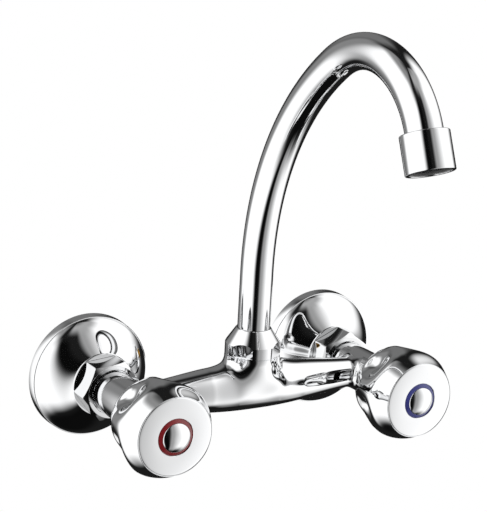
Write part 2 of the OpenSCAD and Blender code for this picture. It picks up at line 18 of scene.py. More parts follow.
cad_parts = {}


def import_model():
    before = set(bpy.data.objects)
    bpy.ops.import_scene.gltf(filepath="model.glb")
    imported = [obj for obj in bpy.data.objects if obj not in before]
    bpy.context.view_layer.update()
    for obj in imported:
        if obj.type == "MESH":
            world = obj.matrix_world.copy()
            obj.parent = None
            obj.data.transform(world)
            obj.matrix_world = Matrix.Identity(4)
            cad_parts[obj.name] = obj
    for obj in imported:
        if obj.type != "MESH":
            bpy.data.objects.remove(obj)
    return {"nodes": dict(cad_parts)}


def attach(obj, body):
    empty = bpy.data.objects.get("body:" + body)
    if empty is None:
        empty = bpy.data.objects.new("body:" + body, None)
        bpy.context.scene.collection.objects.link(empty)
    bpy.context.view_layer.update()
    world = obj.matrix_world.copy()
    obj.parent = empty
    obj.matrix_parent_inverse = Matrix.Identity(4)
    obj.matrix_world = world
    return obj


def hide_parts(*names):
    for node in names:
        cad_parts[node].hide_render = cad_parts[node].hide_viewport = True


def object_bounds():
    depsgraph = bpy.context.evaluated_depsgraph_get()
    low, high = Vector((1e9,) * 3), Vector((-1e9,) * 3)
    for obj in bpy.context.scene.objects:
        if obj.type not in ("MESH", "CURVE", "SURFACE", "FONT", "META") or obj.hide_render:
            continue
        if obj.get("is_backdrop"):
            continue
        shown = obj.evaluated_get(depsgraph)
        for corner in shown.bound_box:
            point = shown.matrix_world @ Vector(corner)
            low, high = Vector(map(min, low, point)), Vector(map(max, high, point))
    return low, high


LOG = logging.getLogger("mixer_tap")
MM = 0.001
# Vertices closer than this many millimetres count as one.
COINCIDENT = 1e-4
SHARP_ANGLE = math.radians(32)

Pair = Tuple[float, float]
Colour = Tuple[float, float, float]
Nodes = Dict[str, bpy.types.Object]
Value = Union[bpy.types.NodeSocket, float, Sequence[float]]


class Side(Enum):
    """The two inlets, by the sign of their place along X."""

    LEFT = -1
    RIGHT = 1

    def named(self, piece: str) -> str:
        """A piece's name with the side in front."""
        return f"{self.name.lower()}_{piece}"


class Body(Enum):
    """The frame's moving bodies."""

    MIXER = "mixer_body"
    SPOUT = "spout"
    LEFT_HANDLE = "left_handle"
    RIGHT_HANDLE = "right_handle"


class Slot(Enum):
    """The record's material slots."""

    CHROME = "chrome"
    BRASS = "brass"
    STEEL = "steel"
    RUBBER = "rubber"
    FIBRE = "fibre"
    CERAMIC = "ceramic"
    PLASTIC = "plastic"
    HOT = "hot_ring"
    COLD = "cold_ring"


class Join(Enum):
    """How one shape acts on another."""

    WELD = "UNION"
    CUT = "DIFFERENCE"
    COMMON = "INTERSECT"


# Shared sizes


@dataclass(frozen=True)
class Layout:
    """Sizes that more than one sub-assembly seats on."""

    half_span: float = 75.0
    flange_depth: float = 22.0
    barrel_r: float = 12.0
    barrel_start: float = 34.7
    barrel_length: float = 45.3
    spout_out: float = 52.8
    turret_r: float = 15.3
    turret_top: float = 19.2
    neck_r: float = 12.6
    neck_top: float = 23.8
    tube_r: float = 9.0
    tube_wall: float = 1.0
    union_r: float = 13.22
    way_r: float = 6.5
    fit: float = 0.05

    @property
    def barrel_end(self) -> float:
        """Distance from the wall to a barrel's front."""
        return self.barrel_start + self.barrel_length

    def on_inlet(self, side: Side) -> Matrix:
        """Placement of something built along +Z on an inlet, with +Z coming out of the wall."""
        return Matrix.Translation((side.value * self.half_span, 0, 0)) @ Matrix.Rotation(
            math.pi / 2, 4, "X"
        )

    def on_spout_axis(self) -> Matrix:
        """Placement of something built round the axis that the spout swivels on."""
        return Matrix.Translation((0, -self.spout_out, 0))


LAYOUT = Layout()
# A small turn that keeps a bore's edges off the edges of the shape that it cuts.
OFF_GRID = Matrix.Rotation(0.011, 4, "Z")


# Shaping


def outline_of(points: Iterable[Pair]) -> List[Vector]:
    """Points in the XZ plane from their radii and heights."""
    return [Vector((r, 0, h)) for r, h in points]


def rounded(corners: Sequence[Sequence[float]], segments: int = 6) -> List[Vector]:
    """Outline with its corners rounded.

    Args:
        corners: Radius, height and, where it has one, rounding of each corner.
        segments: How many straight pieces stand for each rounding.

    Returns:
        The outline's points in the XZ plane.
    """
    points = []
    for i, corner in enumerate(corners):
        r, h, size = (*corner, 0.0)[:3]
        here = Vector((r, 0, h))
        if size <= 0:
            points.append(here)
            continue
        before = Vector((corners[i - 1][0], 0, corners[i - 1][1]))
        after_at = corners[(i + 1) % len(corners)]
        after = Vector((after_at[0], 0, after_at[1]))
        one, two = (before - here).normalized(), (after - here).normalized()
        half = one.angle(two) / 2
        reach = size / math.tan(half)
        centre = here + (one + two).normalized() * size / math.sin(half)
        start = (here + one * reach - centre).normalized()
        end = (here + two * reach - centre).normalized()
        for k in range(segments + 1):
            points.append(centre + start.slerp(end, k / segments) * size)
    return points


def eased(knots: Sequence[Tuple[float, float]], at: float) -> float:
    """Value of a smooth curve through some knots.

    Args:
        knots: Places and values, in rising order of place.
        at: The place that is asked for.

    Returns:
        The curve's value there.
    """
    last = len(knots) - 1
    i = 0
    while i < last - 1 and at > knots[i + 1][0]:
        i += 1

    def slope(k: int) -> float:
        """Slope at a knot, from its two neighbours."""
        low, high = max(k - 1, 0), min(k + 1, last)
        return (knots[high][1] - knots[low][1]) / (knots[high][0] - knots[low][0])

    (x0, y0), (x1, y1) = knots[i], knots[i + 1]
    width = x1 - x0
    t = (at - x0) / width
    return (
        y0 * (1 + 2 * t) * (1 - t) ** 2
        + slope(i) * width * t * (1 - t) ** 2
        + y1 * t * t * (3 - 2 * t)
        - slope(i + 1) * width * t * t * (1 - t)
    )


def blended(one: float, two: float, reach: float) -> float:
    """Joins two depths with a fillet.

    Args:
        one: How far a point lies outside the first form.
        two: How far it lies outside the second form.
        reach: How far the fillet reaches over both.

    Returns:
        How far the point lies outside the joined form.
    """
    mix = min(max(0.5 + 0.5 * (one - two) / reach, 0.0), 1.0)
    return one + (two - one) * mix - reach * mix * (1 - mix)


class Shape:
    """A mesh in millimetres that operators shape, and that ends as a piece in metres."""

    def __init__(self) -> None:
        """Starts an empty mesh."""
        self.bm = bmesh.new()

    @classmethod
    def turned(cls, outline: Sequence[Vector], steps: int = 144) -> "Shape":
        """Piece turned round the Z axis, as on a lathe.

        Args:
            outline: Closed outline in the XZ plane.
            steps: How many steps make the full turn.

        Returns:
            The closed shape.
        """
        shape = cls()
        verts = [shape.bm.verts.new(p) for p in outline]
        edges = [shape.bm.edges.new((verts[i - 1], verts[i])) for i in range(len(verts))]
        bmesh.ops.spin(
            shape.bm, geom=verts + edges, cent=(0, 0, 0), axis=(0, 0, 1), dvec=(0, 0, 0),
            angle=2 * math.pi, space=Matrix.Identity(4), steps=steps, use_merge=True,
            use_normal_flip=False, use_duplicate=False,
        )
        return shape.mended()

    @classmethod
    def lathed(cls, corners: Sequence[Sequence[float]], steps: int) -> "Shape":
        """Turned piece from the corners of its outline, each with its rounding."""
        return cls.turned(rounded(corners), steps)

    def loop(self, radius: float, segments: int) -> List[bmesh.types.BMEdge]:
        """Adds a round loop of edges in the XY plane."""
        made = bmesh.ops.create_circle(self.bm, cap_ends=False, radius=radius, segments=segments)
        return list(dict.fromkeys(edge for vert in made["verts"] for edge in vert.link_edges))

    def drawn(self, loop: Sequence[bmesh.types.BMEdge], by: Vector) -> List[bmesh.types.BMEdge]:
        """Draws a loop straight out and returns its new end."""
        step = bmesh.ops.extrude_edge_only(self.bm, edges=loop)
        ends = {g for g in step["geom"] if isinstance(g, bmesh.types.BMVert)}
        bmesh.ops.translate(self.bm, vec=by, verts=list(ends))
        return [g for g in step["geom"] if isinstance(g, bmesh.types.BMEdge)
                and g.verts[0] in ends and g.verts[1] in ends]

    def swept(self, loop: Sequence[bmesh.types.BMEdge], centre: Vector, angle: float,
              steps: int) -> List[bmesh.types.BMEdge]:
        """Sweeps a loop round an axis along X and returns its new end.

        Args:
            loop: The edges to sweep.
            centre: A point of the axis.
            angle: How far to sweep, in degrees.
            steps: How many steps make the sweep.

        Returns:
            The loop's edges at the end of the sweep.
        """
        verts = list(dict.fromkeys(vert for edge in loop for vert in edge.verts))
        step = bmesh.ops.spin(
            self.bm, geom=verts + list(loop), cent=centre, axis=(1, 0, 0), dvec=(0, 0, 0),
            angle=math.radians(angle), space=Matrix.Identity(4), steps=steps, use_merge=False,
            use_normal_flip=False, use_duplicate=False,
        )
        return [g for g in step["geom_last"] if isinstance(g, bmesh.types.BMEdge)]

    def mended(self) -> "Shape":
        """Cleans the mesh and turns its faces outward."""
        cleaned(self.bm, COINCIDENT)
        bmesh.ops.recalc_face_normals(self.bm, faces=self.bm.faces)
        return self

    def moved(self, matrix: Matrix) -> "Shape":
        """Moves the whole mesh by a placement in millimetres."""
        bmesh.ops.transform(self.bm, matrix=matrix, verts=self.bm.verts, space=Matrix.Identity(4))
        return self

    def bent(self, rule: Callable[[Vector], Vector]) -> "Shape":
        """Moves each vertex to where a rule sends it."""
        for vert in self.bm.verts:
            vert.co = rule(vert.co)
        return self

    def as_object(self, name: str) -> bpy.types.Object:
        """Object of this mesh in metres, smooth apart from its sharp edges.

        Args:
            name: Name of the object.

        Returns:
            The object, at the origin.
        """
        bmesh.ops.scale(self.bm, vec=(MM, MM, MM), verts=self.bm.verts)
        mesh = bpy.data.meshes.new(name)
        settled(self.bm, mesh)
        return placed(name, mesh)


def placed(name: str, data: bpy.types.ID) -> bpy.types.Object:
    """New object of some data, in the scene."""
    obj = bpy.data.objects.new(name, data)
    bpy.context.scene.collection.objects.link(obj)
    return obj


def cleaned(bm: bmesh.types.BMesh, reach: float) -> None:
    """Merges vertices within a reach and drops collapsed faces and stray edges."""
    bmesh.ops.remove_doubles(bm, verts=bm.verts, dist=reach)
    bmesh.ops.dissolve_degenerate(bm, edges=bm.edges, dist=reach / 10)
    stray = [edge for edge in bm.edges if not edge.link_faces]
    bmesh.ops.delete(bm, geom=stray, context="EDGES")


def settled(bm: bmesh.types.BMesh, mesh: bpy.types.Mesh) -> None:
    """Stores a mesh, smooth apart from its sharp edges, and warns of open edges."""
    open_edges = sum(1 for edge in bm.edges if not edge.is_manifold)
    if open_edges:
        LOG.warning("%s has %d open edges", mesh.name, open_edges)
    for face in bm.faces:
        face.smooth = True
    for edge in bm.edges:
        edge.smooth = edge.calc_face_angle(0.0) < SHARP_ANGLE
    bm.to_mesh(mesh)
    bm.free()


def combined(name: str, base: Shape, others: Iterable[Tuple[Join, Shape]]) -> bpy.types.Object:
    """Joins shapes to a base and cuts shapes out of it.

    Args:
        name: Name of the resulting object.
        base: The shape to start from.
        others: How each further shape acts on the base, and the shape.

    Returns:
        The resulting object.
    """
    obj = base.as_object(name)
    tools = []
    for i, (join, shape) in enumerate(others):
        tool = shape.as_object(f"{name}_tool_{i}")
        tools.append(tool)
        step = obj.modifiers.new(f"step_{i}", "BOOLEAN")
        step.operation = join.value
        step.solver = "EXACT"
        step.object = tool
    bpy.context.view_layer.update()
    graph = bpy.context.evaluated_depsgraph_get()
    mesh = bpy.data.meshes.new_from_object(obj.evaluated_get(graph))
    obj.modifiers.clear()
    obj.data = mesh
    mesh.name = name
    for tool in tools:
        bpy.data.objects.remove(tool)
    bm = bmesh.new()
    bm.from_mesh(mesh)
    cleaned(bm, COINCIDENT * MM)
    settled(bm, mesh)
    return obj


# Finishes


class Wiring:
    """Short way to lay out a tree of shader nodes."""

    def __init__(self, tree: bpy.types.NodeTree) -> None:
        """Starts on an emptied tree."""
        self.tree = tree
        tree.nodes.clear()

    def feed(self, node: bpy.types.Node, inputs: Dict[Union[str, int], Value]) -> None:
        """Links a node's inputs to other sockets, or sets their values."""
        for key, value in inputs.items():
            if isinstance(value, bpy.types.NodeSocket):
                self.tree.links.new(value, node.inputs[key])
            else:
                node.inputs[key].default_value = value

    def node(self, kind: str, inputs: Optional[Dict[Union[str, int], Value]] = None,
             **settings: object) -> bpy.types.Node:
        """Adds a node.

        Args:
            kind: The node's type.
            inputs: What goes into its sockets, by name or place.
            settings: The node's own properties.

        Returns:
            The node.
        """
        made = self.tree.nodes.new(kind)
        for key, value in settings.items():
            setattr(made, key, value)
        self.feed(made, inputs or {})
        return made

    def maths(self, operation: str, *values: Value) -> bpy.types.NodeSocket:
        """Adds a Math node on sockets or numbers."""
        made = self.node("ShaderNodeMath", dict(enumerate(values)), operation=operation)
        return made.outputs[0]


class Graph(Wiring):
    """The nodes of one material."""

    NOISE_RANGE = (0.3, 0.7)

    def __init__(self, name: str) -> None:
        """Starts a material with its shader and output."""
        self.material = bpy.data.materials.new(name)
        self.material.use_nodes = True
        super().__init__(self.material.node_tree)
        self.shader = self.node("ShaderNodeBsdfPrincipled")
        self.node("ShaderNodeOutputMaterial", {"Surface": self.shader.outputs["BSDF"]})
        self.place = self.node("ShaderNodeTexCoord").outputs["Object"]

    def noise(self, scale: float, detail: float, stretch: Optional[Sequence[float]]
              ) -> bpy.types.NodeSocket:
        """Noise on the piece's own coordinates.

        Args:
            scale: How fine the noise is, per metre.
            detail: How many finer layers it has.
            stretch: Scale along each axis, for streaks.

        Returns:
            The socket that gives the noise from 0 to 1.
        """
        source = self.place
        if stretch is not None:
            mapping = self.node("ShaderNodeMapping", {"Scale": stretch, "Vector": source})
            source = mapping.outputs["Vector"]
        made = self.node("ShaderNodeTexNoise",
                         {"Scale": scale, "Detail": detail, "Vector": source})
        return made.outputs["Fac"]

    def between(self, source: bpy.types.NodeSocket, low: float, high: float
                ) -> bpy.types.NodeSocket:
        """Spreads the middle of a noise's range onto another range."""
        start, end = self.NOISE_RANGE
        made = self.node("ShaderNodeMapRange", {
            "Value": source, "From Min": start, "From Max": end, "To Min": low, "To Max": high})
        return made.outputs["Result"]

    def colours(self, source: bpy.types.NodeSocket, one: Colour, two: Colour
                ) -> bpy.types.NodeSocket:
        """Goes from one colour to another with a noise."""
        made = self.node("ShaderNodeValToRGB", {"Fac": source})
        for stop, place, colour in zip(made.color_ramp.elements, self.NOISE_RANGE, (one, two)):
            stop.position = place
            stop.color = (*colour, 1)
        return made.outputs["Color"]

    def bump(self, source: bpy.types.NodeSocket, strength: float, depth: float) -> None:
        """Raises the surface a little by a value.

        Args:
            source: The value.
            strength: How much of the relief shows, from 0 to 1.
            depth: Depth of the relief in metres.
        """
        made = self.node("ShaderNodeBump",
                         {"Strength": strength, "Distance": depth, "Height": source})
        self.feed(self.shader, {"Normal": made.outputs["Normal"]})


@dataclass(frozen=True)
class Finish:
    """How a surface looks: two close colours, a range of roughness and a fine relief."""

    name: str
    slot: Slot
    dark: Colour
    light: Colour
    smooth: float
    rough: float
    metallic: float = 0.0
    grain: float = 300.0
    relief: float = 0.0
    stretch: Optional[Tuple[float, float, float]] = None
    specular: float = 0.5
    coat: float = 0.0
    tone_scale: float = 0.35
    relief_strength: float = 0.5

    def material(self) -> bpy.types.Material:
        """The finish's material, made once."""
        made = bpy.data.materials.get(self.name)
        if made is not None:
            return made
        graph = Graph(self.name)
        tone = graph.noise(self.grain * self.tone_scale, 2.0, self.stretch)
        fine = graph.noise(self.grain, 4.0, self.stretch)
        graph.feed(graph.shader, {
            "Metallic": self.metallic, "Specular IOR Level": self.specular,
            "Coat Weight": self.coat, "Base Color": graph.colours(tone, self.dark, self.light),
            "Roughness": graph.between(fine, self.smooth, self.rough)})
        if self.relief > 0:
            graph.bump(fine, self.relief_strength, self.relief)
        return graph.material


CHROME = Finish("polished_chrome", Slot.CHROME, (0.86, 0.865, 0.875), (0.90, 0.905, 0.91),
                0.028, 0.05, metallic=1.0, grain=90.0)
BRASS = Finish("turned_brass", Slot.BRASS, (0.60, 0.42, 0.15), (0.72, 0.53, 0.22), 0.16, 0.30,
               metallic=1.0, grain=420.0, relief=0.00002, stretch=(0.25, 3.0, 0.25))
STEEL = Finish("spring_steel", Slot.STEEL, (0.46, 0.47, 0.48), (0.58, 0.58, 0.59), 0.18, 0.34,
               metallic=1.0, grain=500.0, relief=0.00001)
# Steel of the aerator screen, painted much darker than the spring steel: painted shade of the dim
# outlet mouth that the screen sits in, and of the gaps between its wires.
SHADED_MESH_STEEL = Finish("steel_mesh_painted_shade", Slot.STEEL, (0.15, 0.15, 0.155), (0.24, 0.24, 0.245), 0.28,
                    0.42, metallic=1.0, grain=900.0, relief=0.00001)
RUBBER = Finish("black_rubber", Slot.RUBBER, (0.012, 0.012, 0.013), (0.03, 0.03, 0.032), 0.42,
                0.62, grain=700.0, relief=0.00002, specular=0.35)
FIBRE = Finish("vulcanised_fibre", Slot.FIBRE, (0.22, 0.07, 0.035), (0.36, 0.13, 0.06), 0.6, 0.8,
               grain=900.0, relief=0.00003, specular=0.3)
CERAMIC = Finish("lapped_ceramic", Slot.CERAMIC, (0.80, 0.79, 0.74), (0.88, 0.87, 0.83), 0.12,
                 0.25, grain=600.0, specular=0.6)
PLASTIC = Finish("moulded_acetal", Slot.PLASTIC, (0.74, 0.74, 0.71), (0.84, 0.84, 0.81), 0.30,
                 0.45, grain=350.0, relief=0.00001)
GREY_PLASTIC = Finish("grey_acetal", Slot.PLASTIC, (0.10, 0.10, 0.10), (0.15, 0.15, 0.15), 0.35,
                      0.50, grain=350.0, relief=0.00001)
HOT_RING = Finish("red_ring", Slot.HOT, (0.17, 0.008, 0.011), (0.23, 0.012, 0.016), 0.16, 0.26,
                  grain=260.0, coat=0.4)
COLD_RING = Finish("blue_ring", Slot.COLD, (0.030, 0.034, 0.17), (0.045, 0.050, 0.23), 0.16, 0.26,
                   grain=260.0, coat=0.4)


def dress(nodes: Nodes, finishes: Dict[str, Finish], side: Optional[Side] = None) -> None:
    """Gives frame nodes their finishes and leaves their meshes alone.

    Args:
        nodes: The frame's nodes by name.
        finishes: Finishes by node name, without the side where there is one.
        side: The side that the nodes are on.
    """
    for name, finish in finishes.items():
        node = nodes[side.named(name) if side else name]
        node.data.materials.clear()
        node.data.materials.append(finish.material())
        LOG.info("node %s: %s", node.name, finish.name)


def hand_over(obj: bpy.types.Object, finish: Finish, body: Body, node: str) -> None:
    """Puts a new piece in the place of a frame node.

    Args:
        obj: The new piece.
        finish: Its finish.
        body: The body that it rides on.
        node: The frame node that it stands for.
    """
    obj.data.materials.clear()
    obj.data.materials.append(finish.material())
    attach(obj, body.value)
    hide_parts(node)
    LOG.info("piece %s: %d faces, for %s", obj.name, len(obj.data.polygons), node)


# Wall connection


@dataclass
class WallConnection:
    """Flange, threaded union, nut and the rings inside one inlet."""

    side: Side
    flange_r: float = 34.4
    rim: float = 6.3
    rim_taper: float = 0.3
    step: float = 0.55
    neck_r: float = 17.62
    neck: float = 1.2
    wall: float = 1.6
    curve_steps: int = 40
    curve_across: Pair = (0.78, 0.3)
    curve_along: Pair = (0.43, 0.73)
    foot_edge: float = 0.15
    rim_edge: Tuple[Pair, ...] = ((0.0, 0.35), (0.1, 0.1), (0.3, 0.03))
    neck_edge: float = 0.25
    nut_flats: float = 30.2
    nut_back: float = 22.3
    nut_length: float = 13.2
    nut_corner: float = 0.45
    nut_bevel: float = 30.0
    nut_face_inset: float = 0.45
    nut_back_rise: float = 1.4
    lip_start: float = 31.0
    lip_r: float = 10.8
    mouth_gap: float = 0.35
    mouth_depth: float = 1.3
    left_nut_turn: float = 36.0
    right_nut_turn: float = 54.0
    tail_r: float = 10.4775
    tail_length: float = 16.0
    tail_offset: float = 6.0
    pitch: float = 1.814
    thread_depth: float = 1.16
    thread_rows: float = 0.15
    thread_runout: float = 1.2
    flank_slope: float = 1.25
    shoulder_r: float = 17.0775
    shoulder_t: float = 7.0
    nose_end: float = 26.5

    def flange_curve(self, shrink: float, drop: float) -> List[Vector]:
        """Bulged and then hollow curve from the rim to the neck.

        Args:
            shrink: How far the curve lies inside the outer one.
            drop: How far it lies behind the outer one.

        Returns:
            The curve's points in the XZ plane.
        """
        width = self.flange_r - self.rim_taper - self.step - self.neck_r
        height = LAYOUT.flange_depth - self.neck - self.rim
        points = []
        for i in range(self.curve_steps + 1):
            t = i / self.curve_steps
            u = 1 - t
            near, far = 3 * u * u * t, 3 * u * t * t
            across = u ** 3 + near * self.curve_across[0] + far * self.curve_across[1]
            along = near * self.curve_along[0] + far * self.curve_along[1] + t ** 3
            points.append(Vector((self.neck_r + width * across - shrink, 0,
                                  self.rim + height * along - drop)))
        return points

    def flange(self) -> bpy.types.Object:
        """Pressed wall flange with its open back."""
        front = LAYOUT.flange_depth
        bore_r, back_r = LAYOUT.union_r + LAYOUT.fit, self.flange_r - self.wall
        edge_r = self.flange_r - self.rim_taper
        rim = [(self.flange_r - self.foot_edge, 0), (self.flange_r, self.foot_edge)]
        rim += [(edge_r - inward, self.rim - down) for inward, down in self.rim_edge]
        neck = [(self.neck_r, front - self.neck_edge), (self.neck_r - self.neck_edge, front),
                (bore_r, front), (bore_r, front - self.neck - self.wall)]
        back = [(back_r, self.rim - self.wall), (back_r, 0)]
        outline = (outline_of(rim) + self.flange_curve(0, 0) + outline_of(neck)
                   + self.flange_curve(self.wall, self.wall)[::-1] + outline_of(back))
        return Shape.turned(outline, 192).moved(LAYOUT.on_inlet(self.side)).as_object(
            self.side.named("flange_pressing"))

    def nut(self) -> bpy.types.Object:
        """Hexagonal union nut: turned bevels, soft corners and a stepped bore."""
        corner_r = self.nut_flats / 2 / math.cos(math.pi / 6)
        back, front = self.nut_back, self.nut_back + self.nut_length
        hexagon = Shape()
        foot = hexagon.loop(corner_r, 6)
        hexagon.drawn(foot, Vector((0, 0, self.nut_length)))
        open_rims = [edge for edge in hexagon.bm.edges if edge.is_boundary]
        bmesh.ops.holes_fill(hexagon.bm, edges=open_rims, sides=0)
        upright = [e for e in hexagon.bm.edges if abs(e.verts[0].co.z - e.verts[1].co.z) > 1]
        bmesh.ops.bevel(hexagon.bm, geom=upright, offset=self.nut_corner, segments=4, profile=0.5,
                        affect="EDGES", material=-1, offset_type="OFFSET")
        hexagon.mended()
        turn = self.left_nut_turn if self.side is Side.LEFT else self.right_nut_turn
        place = LAYOUT.on_inlet(self.side) @ Matrix.Translation((0, 0, back))
        hexagon.moved(place @ Matrix.Rotation(math.radians(turn), 4, "Z"))
        face_r = self.nut_flats / 2 - self.nut_face_inset
        fall = (corner_r + 1 - face_r) * math.tan(math.radians(self.nut_bevel))
        bevels = [
            (0, back - 0.1), (corner_r - 0.5, back - 0.1),
            (corner_r + 1, back + self.nut_back_rise),
            (corner_r + 1, front - fall), (face_r, front, 0.35), (0, front),
        ]
        bore_r, mouth_r = LAYOUT.union_r + LAYOUT.fit, LAYOUT.barrel_r + self.mouth_gap
        bore = [
            (0, back - 1), (bore_r, back - 1), (bore_r, self.lip_start),
            (self.lip_r, self.lip_start), (self.lip_r, front - self.mouth_depth),
            (mouth_r, front - self.mouth_depth), (mouth_r, front - 0.3),
            (mouth_r + 0.5, front + 0.2), (0, front + 0.2),
        ]
        on_inlet = LAYOUT.on_inlet(self.side)
        return combined(self.side.named("hexagon_nut"), hexagon, [
            (Join.COMMON, Shape.lathed(bevels, 192).moved(on_inlet)),
            (Join.CUT, Shape.lathed(bore, 128).moved(on_inlet)),
        ])

    def threaded_union(self) -> bpy.types.Object:
        """Offset brass union: its shoulder, nose and the pipe-threaded tail in the wall."""
        end, root = -self.tail_length, -self.thread_runout
        plain = rounded([(0, end), (self.tail_r, end, 0.7), (self.tail_r, 0.5), (0, 0.5)])
        rows = int((root - end - 1.0) / self.thread_rows) + 1
        threaded = outline_of((self.tail_r, end + 1.0 + i * self.thread_rows) for i in range(rows))
        tail = plain[:-2] + threaded + plain[-2:]

        def with_thread(co: Vector) -> Vector:
            """Cuts the right-hand thread into the tail's outside."""
            radius = math.hypot(co.x, co.y)
            if radius < self.tail_r - 0.5:
                return co
            turn = math.atan2(co.y, co.x) / (2 * math.pi)
            flank = 1 - abs(2 * ((co.z / self.pitch - turn) % 1.0) - 1)
            fade = min(max(min(co.z - end - 0.4, root - co.z), 0.0), 1.0)
            level = self.flank_slope * flank - (self.flank_slope - 1) / 2
            depth = min(max(level, 0.0), 1.0) * self.thread_depth * fade
            return Vector((co.x, co.y, 0)) * (1 - depth / radius) + Vector((0, 0, co.z))

        aside = Matrix.Translation((0, self.tail_offset, 0))
        shoulder = [
            (0, 0), (self.shoulder_r, 0, 0.5), (self.shoulder_r, self.shoulder_t, 0.5),
            (LAYOUT.union_r, self.shoulder_t), (LAYOUT.union_r, self.nose_end, 0.6),
            (0, self.nose_end),
        ]
        way_r, past = LAYOUT.way_r, self.nose_end + 1
        way = [(0, 1.6), (way_r, 1.6), (way_r, past), (0, past)]
        back_way = [(0, end - 1), (way_r + 1.5, end - 1), (way_r, end + 0.5), (way_r, 6.3),
                    (0, 6.3)]
        on_inlet = LAYOUT.on_inlet(self.side)
        return combined(self.side.named("threaded_union"),
                        Shape.lathed(shoulder, 128).moved(on_inlet), [
            (Join.WELD, Shape.turned(tail, 120).bent(with_thread).moved(on_inlet @ aside)),
            (Join.CUT, Shape.lathed(way, 96).moved(on_inlet @ OFF_GRID)),
            (Join.CUT, Shape.lathed(back_way, 90).moved(on_inlet @ aside @ OFF_GRID)),
        ])

    def build(self, nodes: Nodes) -> None:
        """Builds the flange, union and nut and dresses the rings between them."""
        for piece, finish, node in ((self.flange(), CHROME, "wall_flange"),
                                    (self.threaded_union(), BRASS, "s_union"),
                                    (self.nut(), CHROME, "union_nut")):
            hand_over(piece, finish, Body.MIXER, self.side.named(node))
        dress(nodes, {"union_washer": FIBRE, "retaining_ring": STEEL}, self.side)


# Body casting


